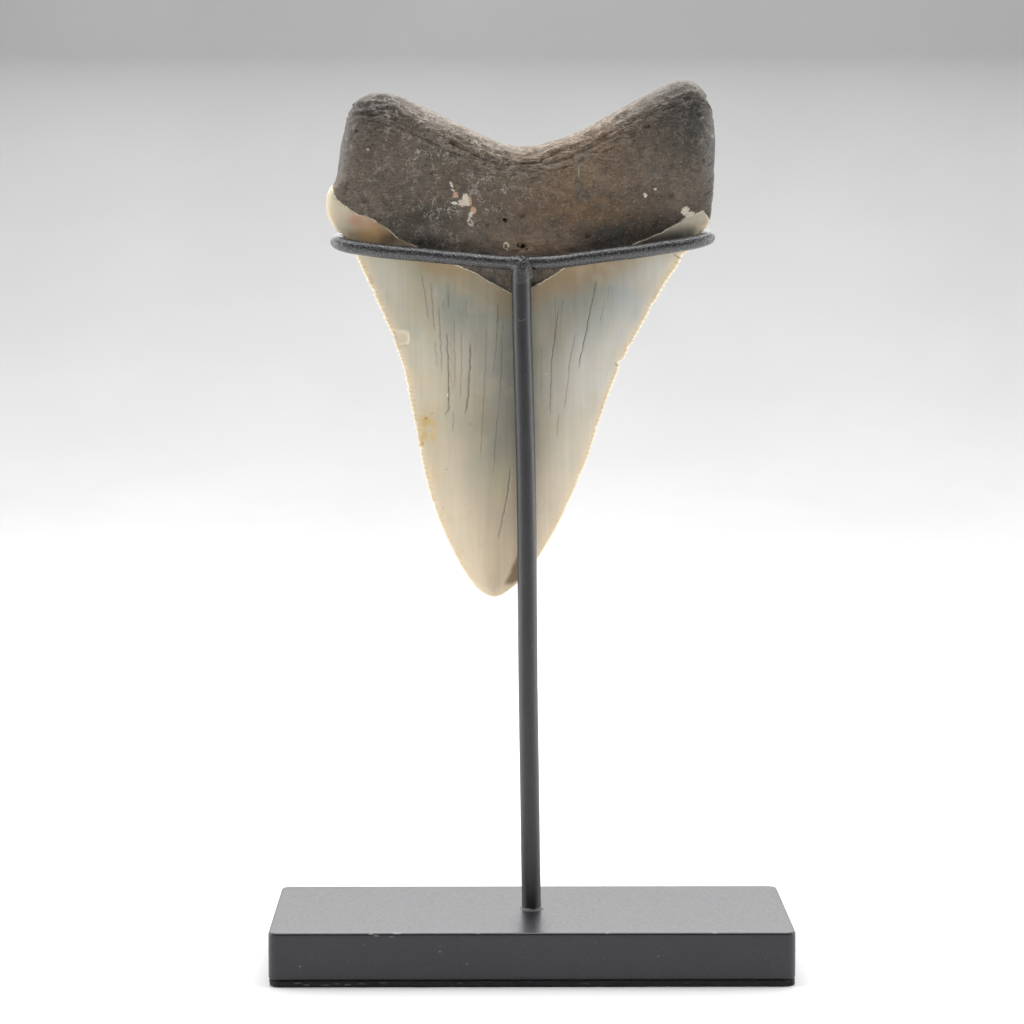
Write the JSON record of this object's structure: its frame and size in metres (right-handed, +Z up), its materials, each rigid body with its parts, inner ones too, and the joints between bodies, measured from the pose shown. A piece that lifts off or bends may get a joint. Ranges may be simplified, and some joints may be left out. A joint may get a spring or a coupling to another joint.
{
  "type": "megalodon tooth on a display stand",
  "caption": "Broad triangular fossil shark tooth with a forked root, held tip down in a wire cradle on a slim post that rises from a low rectangular base.",
  "frame": {"origin": "centre of the stand's underside, on the plane it rests on", "axes": "+Z up along the post; -Y faces the viewer and the tooth's flat face, +Y its domed face; X across the width of the tooth and base"},
  "size_m": [0.088, 0.0419, 0.1512],
  "materials": {
    "fossil_tooth": "semi-gloss mineralised enamel on the crown, dull fibrous root",
    "cradle_paint": "rough textured powder coat",
    "post_paint": "satin charcoal paint",
    "base_paint": "fine-textured satin charcoal paint",
    "pad": "matt black non-slip sheet"
  },
  "bodies": {
    "root": {"megalodon_tooth": "fossil_tooth", "cradle_ring": "cradle_paint", "post": "post_paint", "base_block": "base_paint", "foot_pad": "pad"}
  },
  "joints": []
}
